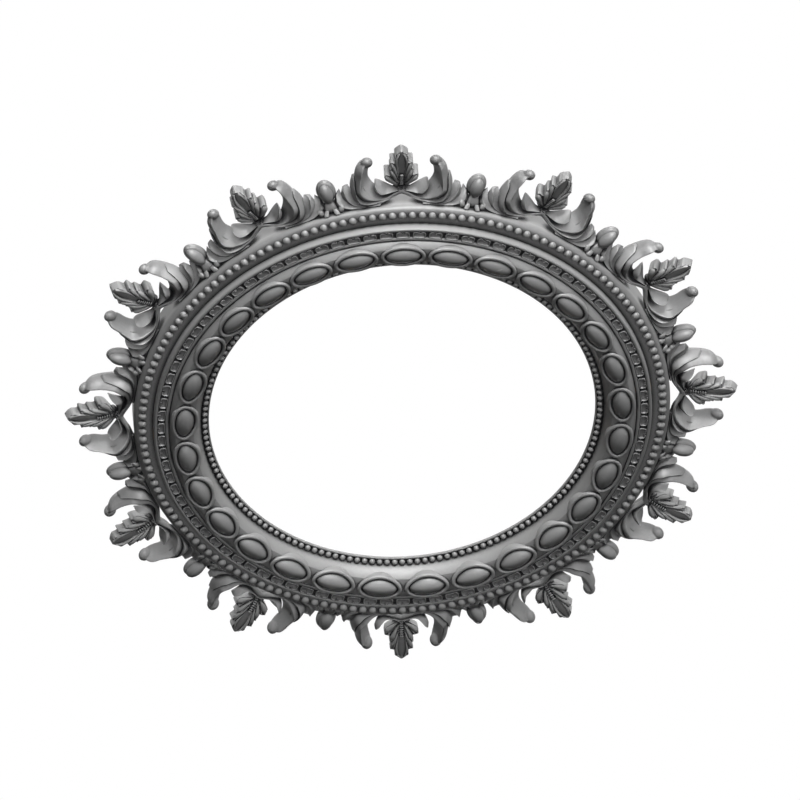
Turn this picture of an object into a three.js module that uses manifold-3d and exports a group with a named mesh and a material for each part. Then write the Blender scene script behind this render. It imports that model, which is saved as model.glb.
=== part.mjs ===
// A round carved picture frame that hangs upright: five turned rings, one inside the other,
// with bead, chain and egg courses, and twelve crests with twelve oval bosses round the rim.
// Millimetres, +Z up. The frame faces -Y, and the origin is the ring's centre on the wall plane.
// "Height" is measured from the wall plane towards the front, so a height h lies at y = -h.

import * as THREE from "three";
import { mergeVertices } from "three/addons/utils/BufferGeometryUtils.js";
import Module from "manifold-3d";

const wasm = await Module();
wasm.setup();

// Clearance wherever two pieces touch or turn, and how deep ornament is rooted in its moulding
const gap = 0.3;
const root = 0.3;

// Widths of the rings, from the sight edge outwards
const sightRadius = 174.2;
const slipShow = 7.2;
const eggWidth = 29.2;
const chainWidth = 13.9;
const beadWidth = 16.8;
const rebateWidth = 21.1;

// Heights of the rings above the wall plane
const backRingHeight = 20;
const upstandHeight = 26.5;
const slipThickness = 2.1;
const wallTopHeight = 24.5;
const beadFlatHeight = 28.3;
const ribHeight = 36.8;
const channelHeight = 34.4;
const eggBandOuterHeight = 42;
const eggBandInnerHeight = 39.8;
const backChamfer = 2;

// Slopes and ribs of the mouldings
const shoulderWidth = 1.5;
const ribWidth = 3.4;
const ribRound = 0.8;
const eggSlopeOuter = 4.9;
const eggSlopeInner = 7.2;
const footEdge = 0.8;

// Ornament counts
const crestCount = 12;
const beadCount = 164;
const eggCount = 29;

// Beads, eggs and rolls
const beadRadius = 3.9;
const beadRise = 4.3;
const beadInset = 6.3;
const fineBeadRadius = 2.6;
const fineBeadInset = 4.3;
const eggHalfLength = 16.9;
const eggHalfWidth = 8.2;
const eggHeight = 46.8;
const rollWidth = 6.4;
const rollHeight = 36.4;

// Knot of a crest: the height of the plane where its petals cross, and the lump they grow from
const knotHeight = 16.2;
const knotOut = 13.9;
const knotSink = 0.8;
const knotHalfWidth = 3.4;
const knotHalfDepth = 3.6;

// Leaf of a crest
const leafBack = -9.5;
const leafTipBack = -7;
const leafEdge = -1;
const leafRib = 1;

// Boss between two crests
const bossOut = 20.5;
const tieWidth = 14;
const tieDepth = 10;
const tieLength = 11;
const tieFront = 5.5;

// Turn buttons on the back
const buttonCount = 4;
const buttonLength = 26;
const buttonWidth = 10;
const buttonThickness = 1.6;
const buttonPivotInset = 5;
const buttonPivotMargin = 9.2;
const buttonScrewRadius = 1.75;
const buttonScrewHead = 3.6;
const buttonScrewDepth = 12;
const screwTip = 1.5;

// Hangers on the back
const hangerAngle = 50;
const hangerRadiusShare = 0.62;
const strapThickness = 1.2;
const strapWidth = 9;
const strapLength = 34;
const knuckleWall = 1.2;
const ringWireRadius = 1.25;
const ringWidth = 16;
const ringDrop = 14;
const strapScrewRadius = 1.5;
const strapScrewHead = 3.2;
const strapScrewDepth = 12;
const strapScrewPlaces = [0.61 * strapLength, 0.85 * strapLength];

// Facets
const ringFacets = 48;
const eggFacets = 8;
const beadFacets = 4;
const knotFacets = 6;
const bossFacets = 6;
const screwFacets = 8;
const knuckleFacets = 10;
const wireFacets = 6;
const arcSteps = 6;

// Radii that follow from the widths
const eggFootRadius = sightRadius + slipShow;
const eggOuterRadius = eggFootRadius + eggWidth;
const chainInnerRadius = eggOuterRadius + gap;
const chainOuterRadius = chainInnerRadius + chainWidth;
const beadInnerRadius = chainOuterRadius + gap;
const outerRadius = beadInnerRadius + beadWidth;
const rebateRadius = sightRadius + rebateWidth;
const seatHeight = backRingHeight + gap;
const eggSeatHeight = upstandHeight + gap;
const crestPitch = 360 / crestCount;

// Materials
const carvedGrey = { color: 0x8d8d8d, roughness: 0.55, metalness: 0 };
const bareWood = { color: 0x9a8467, roughness: 0.8, metalness: 0 };
const steel = { color: 0xb9b9bb, roughness: 0.35, metalness: 1 };

const frame = new THREE.Group();

function addPiece(name, geometry, look, parent = frame) {
  const mesh = new THREE.Mesh(geometry, new THREE.MeshStandardMaterial(look));
  mesh.name = name;
  parent.add(mesh);
  return mesh;
}

// A group turned round the ring, so that its own +Z points outwards at that angle
function station(degrees) {
  const group = new THREE.Group();
  group.rotation.y = THREE.MathUtils.degToRad(degrees);
  frame.add(group);
  return group;
}

// Between geometries and solids
function solidOf(geometry) {
  const bare = new THREE.BufferGeometry().setAttribute("position", geometry.getAttribute("position"));
  if (geometry.index) bare.setIndex(geometry.index);
  const merged = mergeVertices(bare, 1e-4);
  const vertProperties = new Float32Array(merged.getAttribute("position").array);
  const triVerts = new Uint32Array(merged.index.array);
  const solid = new wasm.Manifold(new wasm.Mesh({ numProp: 3, vertProperties, triVerts }));
  if (solid.volume() > 0) return solid;
  const turned = triVerts.slice().reverse();
  return new wasm.Manifold(new wasm.Mesh({ numProp: 3, vertProperties, triVerts: turned }));
}

function geometryOf(solid) {
  const mesh = solid.getMesh();
  const geometry = new THREE.BufferGeometry();
  geometry.setAttribute("position", new THREE.BufferAttribute(mesh.vertProperties, 3));
  geometry.setIndex(new THREE.BufferAttribute(mesh.triVerts, 1));
  return geometry;
}

const joined = (solids) => solids.reduce((whole, piece) => whole.add(piece));

// Turned solids: each profile point is [radius, height]
function turned(profile, closedOnAxis = false) {
  const points = profile.map(([radius, height]) => new THREE.Vector2(radius, height));
  if (!closedOnAxis) points.push(points[0].clone());
  return solidOf(new THREE.LatheGeometry(points, ringFacets).rotateX(Math.PI));
}

// Places on the ring: degrees clockwise from the crest, as seen from the front
function ringPoint(degrees, radius, height) {
  const angle = THREE.MathUtils.degToRad(degrees);
  return new THREE.Vector3(radius * Math.sin(angle), -height, radius * Math.cos(angle));
}

// A course of like pieces round the ring, each made at the top and turned into place
function course(geometry, count) {
  const pieces = [];
  for (let i = 0; i < count; i += 1) {
    const copy = geometry.clone().rotateY((2 * Math.PI * i) / count);
    pieces.push(solidOf(copy));
  }
  return joined(pieces);
}

// A faceted dome that points to the front: a foot row, a waist row on the circle and the top
function domeShape(halfLength, halfWidth, foot, top, place) {
  const waistWidth = 0.8;
  const waistShare = Math.sqrt(1 - waistWidth ** 2);
  const profile = [
    [0, foot],
    [1, foot],
    [waistWidth, foot + waistShare * (top - foot)],
    [0, top],
  ].map(([r, height]) => new THREE.Vector2(r, height));
  const dome = new THREE.LatheGeometry(profile, eggFacets).rotateX(Math.PI);
  return dome.scale(halfLength, 1, halfWidth).translate(0, 0, place);
}

// A four-sided point, for a bead
function pointShape(radius, foot, top, place) {
  const profile = [
    [0, foot],
    [radius, foot],
    [0, top],
  ].map(([r, height]) => new THREE.Vector2(r, height));
  return new THREE.LatheGeometry(profile, beadFacets).rotateX(Math.PI).translate(0, 0, place);
}

// The screws' blind holes
function screwHole(x, z, radius, depth) {
  const hole = new THREE.CylinderGeometry(radius + gap, radius + gap, 2 * (depth + gap), screwFacets);
  return solidOf(hole.translate(x, 0, z));
}

// Hardware places on the back
const buttonPivotRadius = rebateRadius + buttonPivotMargin;
const hangerRadius = rebateRadius + hangerRadiusShare * (outerRadius - rebateRadius);
const hangerX = hangerRadius * Math.sin(THREE.MathUtils.degToRad(hangerAngle));
const hangerZ = hangerRadius * Math.cos(THREE.MathUtils.degToRad(hangerAngle));
const knuckleRadius = ringWireRadius + gap + knuckleWall;
const hingeOffset = knuckleRadius + gap;

const buttonPlaces = [];
for (let i = 0; i < buttonCount; i += 1) {
  const place = ringPoint((360 * i) / buttonCount, buttonPivotRadius, 0);
  buttonPlaces.push(place);
}

// Back ring, which carries everything else: its upstand holds the egg moulding and rims the rebate
function makeBackRing() {
  let ring = turned([
    [rebateRadius, 0],
    [outerRadius - backChamfer, 0],
    [outerRadius, backChamfer],
    [outerRadius, backRingHeight],
    [eggOuterRadius, backRingHeight],
    [eggOuterRadius, upstandHeight],
    [rebateRadius, upstandHeight],
  ]);
  for (const place of buttonPlaces) {
    ring = ring.subtract(screwHole(place.x, place.z, buttonScrewRadius, buttonScrewDepth));
  }
  for (const side of [-1, 1]) {
    for (const drop of strapScrewPlaces) {
      ring = ring.subtract(screwHole(side * hangerX, hangerZ - drop, strapScrewRadius, strapScrewDepth));
    }
  }
  return ring;
}
addPiece("back_ring", geometryOf(makeBackRing()), bareWood);

// Outer moulding with its string of beads
const shoulderProfile = [
  [outerRadius, wallTopHeight],
  [outerRadius - shoulderWidth, beadFlatHeight],
];

function makeBeadMoulding() {
  const body = turned([
    [beadInnerRadius, seatHeight],
    [outerRadius, seatHeight],
    ...shoulderProfile,
    [beadInnerRadius, beadFlatHeight],
  ]);
  const foot = beadFlatHeight - root;
  const bead = pointShape(beadRadius, foot, beadFlatHeight + beadRise, outerRadius - beadInset);
  return body.add(course(bead, beadCount));
}
addPiece("bead_moulding", geometryOf(makeBeadMoulding()), carvedGrey);

// Middle moulding: two ribs with a low roll between them, which the chain is cut from
function makeChainMoulding() {
  const ribEdge = ribHeight - ribRound;
  const middle = (chainInnerRadius + chainOuterRadius) / 2;
  return turned([
    [chainInnerRadius, seatHeight],
    [chainOuterRadius, seatHeight],
    [chainOuterRadius, ribEdge],
    [chainOuterRadius - ribWidth / 2, ribHeight],
    [chainOuterRadius - ribWidth, channelHeight],
    [middle + rollWidth / 2, channelHeight],
    [middle, rollHeight],
    [middle - rollWidth / 2, channelHeight],
    [chainInnerRadius + ribWidth, channelHeight],
    [chainInnerRadius + ribWidth / 2, ribHeight],
    [chainInnerRadius, ribEdge],
  ]);
}
addPiece("chain_moulding", geometryOf(makeChainMoulding()), carvedGrey);

// Raised moulding with its course of eggs
function makeEggMoulding() {
  const bandOuter = eggOuterRadius - eggSlopeOuter;
  const bandInner = eggFootRadius + eggSlopeInner;
  const body = turned([
    [eggFootRadius, eggSeatHeight],
    [eggOuterRadius, eggSeatHeight],
    [eggOuterRadius, ribHeight],
    [bandOuter, eggBandOuterHeight],
    [bandInner, eggBandInnerHeight],
    [eggFootRadius, eggSeatHeight + footEdge],
  ]);
  const middle = (bandOuter + bandInner) / 2;
  const foot = eggBandInnerHeight - root;
  const egg = domeShape(eggHalfLength, eggHalfWidth, foot, eggHeight, middle);
  return body.add(course(egg, eggCount));
}
addPiece("egg_moulding", geometryOf(makeEggMoulding()), carvedGrey);

// Sight slip: the thin inner lip, seated behind the egg moulding, with a half-round roll
// that the fine beads are cut from
function makeSightSlip() {
  const middle = sightRadius + fineBeadInset;
  const rollFlat = 0.6 * fineBeadRadius;
  const rollTop = upstandHeight + 0.8 * fineBeadRadius;
  return turned([
    [sightRadius, upstandHeight - slipThickness],
    [rebateRadius - gap, upstandHeight - slipThickness],
    [rebateRadius - gap, upstandHeight],
    [middle + fineBeadRadius, upstandHeight],
    [middle + rollFlat, rollTop],
    [middle - rollFlat, rollTop],
    [middle - fineBeadRadius, upstandHeight],
    [sightRadius, upstandHeight],
  ]);
}
addPiece("sight_slip", geometryOf(makeSightSlip()), carvedGrey);

// Closed skin over rings of points, all with the same count
function lofted(sections) {
  const count = sections[0].length;
  const positions = sections.flat().flatMap((point) => [point.x, point.y, point.z]);
  const faces = [];
  for (let s = 0; s + 1 < sections.length; s += 1) {
    for (let i = 0; i < count; i += 1) {
      const here = s * count + i;
      const beside = s * count + ((i + 1) % count);
      faces.push(here, beside, here + count, beside, beside + count, here + count);
    }
  }
  const last = (sections.length - 1) * count;
  for (let i = 1; i + 1 < count; i += 1) {
    faces.push(0, i + 1, i);
    faces.push(last, last + i, last + i + 1);
  }
  const geometry = new THREE.BufferGeometry();
  geometry.setAttribute("position", new THREE.Float32BufferAttribute(positions, 3));
  geometry.setIndex(faces);
  return solidOf(geometry);
}

// Petals of one half of a crest. Each has a front rim, a back rim and an under edge, as points of
// [degrees from the crest's centre line, millimetres out from the ring, millimetres in front of the knot].
const petals = [
  {
    front: [[0.3, 15.2, 0.4], [2, 13.8, 2.4], [3.8, 14.8, 5.6], [5, 21, 7]],
    back: [[0.3, 16.4, -2.2], [1.8, 18.8, -4.4], [3.6, 23.6, -5.4], [4.8, 27.5, -4.5]],
    under: [[0.3, 13.6, -2.8], [1.8, 10.8, -1.6], [4, 9.8, -0.6], [5.4, 18, -1]],
  },
  {
    front: [[0.3, 14.2, 0.2], [4, 7.6, 1.8], [6.4, 16.5, 5.5], [7, 35, 6.5], [6.4, 49.5, 2.5]],
    back: [[0.3, 15, -3], [3.4, 11, -6], [5.2, 17.5, -7.6], [5.8, 34.5, -7], [4.8, 47, -7]],
    under: [[0.3, 12, -3.2], [4, 3.6, -4], [7.6, 12.5, -5], [9.2, 33.5, -9.5], [8, 47, -8]],
  },
  {
    front: [[3, 9, -0.6], [5.2, 4.4, 3.6], [8.2, 10.8, 6.8], [9.2, 33, 5]],
    back: [[3, 9.6, -2.4], [5.2, 8, -1.4], [7.6, 15.5, 0.6], [8.6, 34.5, -2]],
    under: [[3, 8, -2.8], [5.2, -1.2, -5], [9.2, 5, -6.5], [10.4, 32, -8]],
  },
  {
    front: [[4.8, 4.4, 1.2], [6.6, 3.4, 7], [10, 6.8, 9.2], [12, 22, 3.5]],
    back: [[4.8, 5.2, -0.6], [6.6, 5.4, 3.4], [9.8, 9.4, 5.4], [11.2, 22, 2]],
    under: [[4.8, 3, -1.6], [6.6, -1.2, -2.5], [10.6, -1.2, -3], [12.2, 21.5, -3.5]],
  },
];

function petalSolid(petal, side) {
  const rows = petal.front.map((point, i) => [point, petal.back[i], petal.under[i]]);
  return lofted(rows.map((row) => row.map(([degrees, out, front]) =>
    ringPoint(side * degrees, outerRadius + out, knotHeight + front))));
}

// Knot where the two halves of a crest meet
function knotSolid() {
  const knot = new THREE.SphereGeometry(1, knotFacets, 2).rotateX(Math.PI / 2);
  knot.scale(knotHalfWidth, knotHalfDepth, knotHalfWidth);
  return solidOf(knot.translate(0, knotSink - knotHeight, outerRadius + knotOut));
}

// Leaf of a crest, as rows of [millimetres out from the ring, half width]
const leafRows = [
  [17.4, 3.6],
  [23.5, 11],
  [27, 15.4],
  [33.8, 15.8],
  [34.4, 10],
  [42, 10.8],
  [42.6, 9.4],
  [49.8, 10.6],
  [50.4, 6],
  [56, 6.2],
  [62, 0.8],
];

function leafSolid(grow) {
  const first = leafRows[0][0];
  const last = leafRows[leafRows.length - 1][0];
  const sections = leafRows.map(([out, halfWidth]) => {
    const share = (out - first) / (last - first);
    const z = outerRadius + out + (out === first ? -grow : 0) + (out === last ? grow : 0);
    const width = halfWidth + grow;
    const back = knotHeight + leafBack + share * (leafTipBack - leafBack) - grow;
    const edge = knotHeight + leafEdge + grow;
    const rib = knotHeight + leafRib + grow;
    return [
      new THREE.Vector3(-width, -back, z),
      new THREE.Vector3(width, -back, z),
      new THREE.Vector3(width, -edge, z),
      new THREE.Vector3(0, -rib, z),
      new THREE.Vector3(-width, -edge, z),
    ];
  });
  return lofted(sections);
}

// Space that the ring takes up, with its clearance
const ringSpace = turned([
  [0, -gap],
  [outerRadius + gap, -gap],
  [outerRadius + gap, wallTopHeight],
  [shoulderProfile[1][0] + gap, beadFlatHeight + gap],
  [0, beadFlatHeight + gap],
], true);

function makeSpray() {
  const halves = [-1, 1].flatMap((side) => petals.map((petal) => petalSolid(petal, side)));
  return joined([knotSolid(), ...halves]).subtract(ringSpace).subtract(leafSolid(gap));
}

// Boss between two crests, as rows of [half width, half length, millimetres in front of the knot]
const bossRows = [
  [6, 10, -9],
  [9.2, 13, -5],
  [7.2, 11.6, -0.5],
  [5.4, 9.2, 5],
  [1.8, 3.6, 7.2],
];

function makeBoss() {
  const sections = bossRows.map(([halfWidth, halfLength, front]) => {
    const ring = [];
    for (let i = 0; i < bossFacets; i += 1) {
      const angle = (2 * Math.PI * i) / bossFacets;
      const x = halfWidth * Math.sin(angle);
      const z = outerRadius + bossOut + halfLength * Math.cos(angle);
      ring.push(new THREE.Vector3(x, -(knotHeight + front), z));
    }
    return ring;
  });
  const tie = new THREE.BoxGeometry(tieWidth, tieDepth, tieLength);
  tie.translate(0, tieDepth / 2 - (knotHeight + tieFront), outerRadius + tieLength / 2);
  return lofted(sections).add(solidOf(tie)).subtract(ringSpace);
}

const sprayGeometry = geometryOf(makeSpray());
const leafGeometry = geometryOf(leafSolid(0));
const bossGeometry = geometryOf(makeBoss());
for (let i = 0; i < crestCount; i += 1) {
  const number = String(i + 1).padStart(2, "0");
  const crest = station(crestPitch * i);
  addPiece(`crest_spray_${number}`, sprayGeometry, carvedGrey, crest);
  addPiece(`crest_leaf_${number}`, leafGeometry, carvedGrey, crest);
  addPiece(`oval_boss_${number}`, bossGeometry, carvedGrey, station(crestPitch * (i + 0.5)));
}

// A pan-head screw, pointing into the frame from the back
function screwGeometry(radius, head, depth, seat) {
  const flat = 0.8 * head;
  const wall = 0.5 * head;
  const crown = 0.62 * head;
  const profile = [
    [0, -depth],
    [radius, -depth + screwTip],
    [radius, seat],
    [head, seat],
    [flat, seat + wall],
    [0, seat + crown],
  ].map(([r, y]) => new THREE.Vector2(r, y));
  return new THREE.LatheGeometry(profile, screwFacets);
}

// Turn buttons, turned aside along the ring at rest
function buttonGeometry() {
  const end = buttonWidth / 2;
  const far = buttonLength - buttonPivotInset - end;
  const outline = new THREE.Shape();
  outline.absarc(far, 0, end, -Math.PI / 2, Math.PI / 2);
  outline.absarc(end - buttonPivotInset, 0, end, Math.PI / 2, (3 * Math.PI) / 2);
  const hole = new THREE.Path();
  hole.absarc(0, 0, buttonScrewRadius + gap, 0, 2 * Math.PI, true);
  outline.holes.push(hole);
  const plate = new THREE.ExtrudeGeometry(outline, {
    depth: buttonThickness,
    bevelEnabled: false,
    curveSegments: 5,
  });
  return plate.rotateX(Math.PI / 2).translate(0, gap + buttonThickness, 0);
}

const buttonNames = ["top", "right", "bottom", "left"];
buttonPlaces.forEach((place, i) => {
  const name = buttonNames[i] ?? String(i + 1);
  const button = addPiece(`turn_button_${name}`, buttonGeometry(), steel);
  button.position.copy(place);
  button.rotation.y = (2 * Math.PI * i) / buttonCount;
  const seat = buttonThickness + 2 * gap;
  const screw = screwGeometry(buttonScrewRadius, buttonScrewHead, buttonScrewDepth, seat);
  addPiece(`button_screw_${name}`, screw, steel).position.copy(place);
});

// Hanger strap: a flat plate with a rolled knuckle at its upper end
function strapSolid() {
  const plate = new THREE.BoxGeometry(strapWidth, strapThickness, strapLength);
  plate.translate(0, gap + strapThickness / 2, -strapLength / 2);
  const knuckle = new THREE.CylinderGeometry(knuckleRadius, knuckleRadius, strapWidth, knuckleFacets);
  knuckle.rotateZ(Math.PI / 2).translate(0, hingeOffset, 0);
  const boreRadius = ringWireRadius + gap;
  const bore = new THREE.CylinderGeometry(boreRadius, boreRadius, 2 * strapWidth, knuckleFacets);
  bore.rotateZ(Math.PI / 2).translate(0, hingeOffset, 0);
  let strap = solidOf(plate).add(solidOf(knuckle)).subtract(solidOf(bore));
  for (const drop of strapScrewPlaces) {
    const radius = strapScrewRadius + gap;
    const hole = new THREE.CylinderGeometry(radius, radius, 4 * strapThickness, screwFacets);
    strap = strap.subtract(solidOf(hole.translate(0, gap, -drop)));
  }
  return strap;
}

// D ring: a round wire along a closed path, with its straight side in the knuckle
function ringSolid() {
  const half = ringWidth / 2;
  const corner = 2.2;
  const path = [new THREE.Vector3(corner - half, 0, 0), new THREE.Vector3(half - corner, 0, 0)];
  const cornerX = half - corner * (1 - Math.SQRT1_2);
  const cornerZ = -corner * (1 - Math.SQRT1_2);
  path.push(new THREE.Vector3(cornerX, 0, cornerZ));
  for (let i = 0; i <= arcSteps; i += 1) {
    const angle = (Math.PI * i) / arcSteps;
    const drop = corner + (ringDrop - corner) * Math.sin(angle);
    path.push(new THREE.Vector3(half * Math.cos(angle), 0, -drop));
  }
  path.push(new THREE.Vector3(-cornerX, 0, cornerZ));
  const rings = path.map((point, i) => {
    const before = path[(i + path.length - 1) % path.length];
    const after = path[(i + 1) % path.length];
    const along = after.clone().sub(before).normalize();
    const across = new THREE.Vector3(-along.z, 0, along.x);
    const ring = [];
    for (let k = 0; k < wireFacets; k += 1) {
      const angle = (2 * Math.PI * (k + 0.5)) / wireFacets;
      const offset = across.clone().multiplyScalar(ringWireRadius * Math.cos(angle));
      offset.y += ringWireRadius * Math.sin(angle);
      ring.push(point.clone().add(offset));
    }
    return ring;
  });
  const positions = rings.flat().flatMap((point) => [point.x, point.y, point.z]);
  const faces = [];
  rings.forEach((ring, i) => {
    const next = ((i + 1) % rings.length) * wireFacets;
    const here = i * wireFacets;
    for (let k = 0; k < wireFacets; k += 1) {
      const beside = (k + 1) % wireFacets;
      faces.push(here + k, here + beside, next + k, here + beside, next + beside, next + k);
    }
  });
  const geometry = new THREE.BufferGeometry();
  geometry.setAttribute("position", new THREE.Float32BufferAttribute(positions, 3));
  geometry.setIndex(faces);
  return solidOf(geometry);
}

const strapGeometry = geometryOf(strapSolid());
const ringGeometry = geometryOf(ringSolid());
for (const [side, name] of [[-1, "left"], [1, "right"]]) {
  const place = new THREE.Vector3(side * hangerX, 0, hangerZ);
  addPiece(`hanger_strap_${name}`, strapGeometry, steel).position.copy(place);
  addPiece(`hanger_ring_${name}`, ringGeometry, steel).position.set(place.x, hingeOffset, place.z);
  strapScrewPlaces.forEach((drop, i) => {
    const seat = strapThickness + 2 * gap;
    const screw = screwGeometry(strapScrewRadius, strapScrewHead, strapScrewDepth, seat);
    addPiece(`strap_screw_${name}_${i + 1}`, screw, steel).position.set(place.x, 0, place.z - drop);
  });
}

export default frame;
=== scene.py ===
# %% [markdown]
# A round carved picture frame for the wall. Five turned rings lie one inside the other, each with its own
# ornament, and twelve leaf crests stand round the rim with an oval boss between every two. The solids are
# already made, so this lesson dresses them: each step makes one piece as a carver would, and puts it exactly
# where its solid is.

# %% Load the imported frame
import math
import bpy
import numpy as np
from mathutils import Matrix, Vector


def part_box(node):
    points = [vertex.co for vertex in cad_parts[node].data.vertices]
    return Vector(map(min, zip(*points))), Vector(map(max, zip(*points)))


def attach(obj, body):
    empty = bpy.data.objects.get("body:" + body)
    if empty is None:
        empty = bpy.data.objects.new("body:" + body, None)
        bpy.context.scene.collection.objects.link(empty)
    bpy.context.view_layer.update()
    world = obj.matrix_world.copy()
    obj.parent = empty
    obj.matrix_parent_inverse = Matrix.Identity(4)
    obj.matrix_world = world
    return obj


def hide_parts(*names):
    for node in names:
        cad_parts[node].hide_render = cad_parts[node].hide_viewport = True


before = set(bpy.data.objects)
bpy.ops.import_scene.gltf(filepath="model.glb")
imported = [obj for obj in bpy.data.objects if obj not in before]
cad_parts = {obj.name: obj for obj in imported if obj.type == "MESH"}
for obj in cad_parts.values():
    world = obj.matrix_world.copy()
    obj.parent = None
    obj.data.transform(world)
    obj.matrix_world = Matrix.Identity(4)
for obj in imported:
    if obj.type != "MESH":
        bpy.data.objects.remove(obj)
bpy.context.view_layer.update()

# %% [markdown]
# Everything on a round frame is easiest to say in three numbers: how far round, how far from
# the centre, and how far in front of the wall. The carver thinks the same way, with a divider
# for the first, a turning tool for the second and the depth of the cut for the third. Sizes
# are in millimetres, and the helper turns them into the metres that the scene is in. The rings'
# own radii and heights are read from the solids, and what touches keeps the solids' small gap.

# %% Places on the ring
MM = 0.001
gap = 0.3
knot_height = 16.2


def ring_point(degrees, radius, height):
    angle = math.radians(degrees)
    return (radius * math.sin(angle) * MM, -height * MM, radius * math.cos(angle) * MM)


def in_mm(metres, digits=1):
    return round(metres / MM, digits)


def ring_sizes(node):
    """A turned ring's outer radius, and how high its back and its front lie above the wall."""
    low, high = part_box(node)
    return in_mm(high.x), in_mm(-high.y), in_mm(-low.y)


outer_radius, _, upstand_height = ring_sizes("back_ring")
_, board_front, _ = ring_sizes("bead_moulding")
chain_outer, _, _ = ring_sizes("chain_moulding")
egg_outer, egg_back, egg_crown = ring_sizes("egg_moulding")
slip_outer, slip_back, _ = ring_sizes("sight_slip")
print("outer radii:", outer_radius, chain_outer, egg_outer, slip_outer, "mm")

# %% [markdown]
# Carved work is looked at from all sides, so each piece is a closed skin of its own. One helper
# takes points and faces, turns every face outwards, and lets faces that meet at less than a
# given angle shade as one smooth surface, while real arrises stay crisp.

# %% Make one piece from points and faces
import bmesh


def make_mesh(name, points, faces, crisp_angle=40):
    mesh = bpy.data.meshes.new(name)
    mesh.from_pydata([tuple(point) for point in points], [], faces)
    skin = bmesh.new()
    skin.from_mesh(mesh)
    bmesh.ops.recalc_face_normals(skin, faces=skin.faces)
    skin.to_mesh(mesh)
    skin.free()
    mesh.shade_smooth()
    mesh.set_sharp_from_angle(angle=math.radians(crisp_angle))
    return mesh


def place_piece(name, mesh, finish, body, nodes, turn=0.0):
    piece = bpy.data.objects.new(name, mesh)
    bpy.context.scene.collection.objects.link(piece)
    piece.matrix_world = Matrix.Rotation(math.radians(turn), 4, "Y")
    if finish.name not in mesh.materials:
        mesh.materials.append(finish)
    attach(piece, body)
    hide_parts(*nodes)
    return piece


def lofted(sections):
    """A closed skin over sections that all have the same number of points."""
    count = len(sections[0])
    points = [spot for section in sections for spot in section]
    faces = []
    for start in range(0, len(points) - count, count):
        for i in range(count):
            j = (i + 1) % count
            faces.append((start + i, start + j, start + count + j, start + count + i))
    faces.append(tuple(range(count)))
    faces.append(tuple(len(points) - 1 - i for i in range(count)))
    return points, faces


# %% [markdown]
# The mouldings are turned: a cutter with the shape of the profile goes once round. In code that
# is a closed outline of radius and height, copied at even steps round the centre. With 492
# steps the chords are 3 mm long, so the rim looks round even close up.

# %% Turn a profile
turning_steps = 492


def turned(profile):
    count = len(profile)
    points, faces = [], []
    for step in range(turning_steps):
        degrees = 360 * step / turning_steps
        points += [ring_point(degrees, radius, height) for radius, height in profile]
        here, beyond = step * count, (step + 1) % turning_steps * count
        for i in range(count):
            j = (i + 1) % count
            faces.append((here + i, here + j, beyond + j, beyond + i))
    return points, faces


def course(points, faces, count):
    """Repeats one ornament, made at the top of the ring, at even steps all the way round."""
    shape = np.array(points)
    whole, skins = [], []
    for number in range(count):
        angle = math.radians(360 * number / count)
        turn = np.array(((math.cos(angle), 0, math.sin(angle)), (0, 1, 0),
                         (-math.sin(angle), 0, math.cos(angle))))
        whole.append(shape @ turn.T)
        start = number * len(shape)
        skins += [tuple(start + i for i in face) for face in faces]
    return np.concatenate(whole).tolist(), skins


def joined(*parts):
    points, faces = [], []
    for more_points, more_faces in parts:
        start = len(points)
        points += [tuple(point) for point in more_points]
        faces += [tuple(start + i for i in face) for face in more_faces]
    return points, faces


# %% [markdown]
# The carved parts wear one satin grey paint. On the real frame it is brushed on over a ground, so it is never
# one even grey, and soft noise gives the cloudy hand-brushed ground. The arrises are lighter by the mesh's
# own pointiness: partly paint rubbed thin and pale where a duster touches, partly a painted highlight along
# the edges. The hollows are darkened to near-black by ambient occlusion, which is painted shade in the
# creases and under the beads. A finer noise drives the roughness and the bump, so that the gloss breaks up
# the way brushed paint does.

# %% Satin grey paint
def new_finish(name):
    finish = bpy.data.materials.new(name)
    finish.use_nodes = True
    nodes = finish.node_tree.nodes
    nodes.clear()
    shader = nodes.new("ShaderNodeBsdfPrincipled")
    output = nodes.new("ShaderNodeOutputMaterial")
    finish.node_tree.links.new(shader.outputs["BSDF"], output.inputs["Surface"])
    return finish, nodes, finish.node_tree.links, shader


def noise(nodes, links, coordinates, scale, detail=3.0, offset=None):
    texture = nodes.new("ShaderNodeTexNoise")
    texture.noise_dimensions = "4D"
    texture.inputs["Scale"].default_value = scale
    texture.inputs["Detail"].default_value = detail
    links.new(coordinates, texture.inputs["Vector"])
    if offset:
        links.new(offset, texture.inputs["W"])
    return texture.outputs["Fac"]


def remap(nodes, links, value, low, high, to_low, to_high):
    step = nodes.new("ShaderNodeMapRange")
    for socket, number in zip(("From Min", "From Max", "To Min", "To Max"), (low, high, to_low, to_high)):
        step.inputs[socket].default_value = number
    links.new(value, step.inputs["Value"])
    return step.outputs["Result"]


def mix_colour(nodes, links, share, first, second):
    mix = nodes.new("ShaderNodeMix")
    mix.data_type = "RGBA"
    if isinstance(share, float):
        mix.inputs["Factor"].default_value = share
    else:
        links.new(share, mix.inputs["Factor"])
    for socket, colour in ((mix.inputs[6], first), (mix.inputs[7], second)):
        if isinstance(colour, tuple):
            socket.default_value = (*colour, 1)
        else:
            links.new(colour, socket)
    return mix.outputs[2]


def stretched(nodes, links, coordinates, scale):
    mapping = nodes.new("ShaderNodeMapping")
    mapping.inputs["Scale"].default_value = scale
    links.new(coordinates, mapping.inputs["Vector"])
    return mapping.outputs["Vector"]


def openness(nodes, reach):
    """1 on a bare flat and towards 0 in a hollow, looking as far as reach."""
    hollow = nodes.new("ShaderNodeAmbientOcclusion")
    hollow.samples = 8
    hollow.inputs["Distance"].default_value = reach
    return hollow.outputs["AO"]


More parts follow.
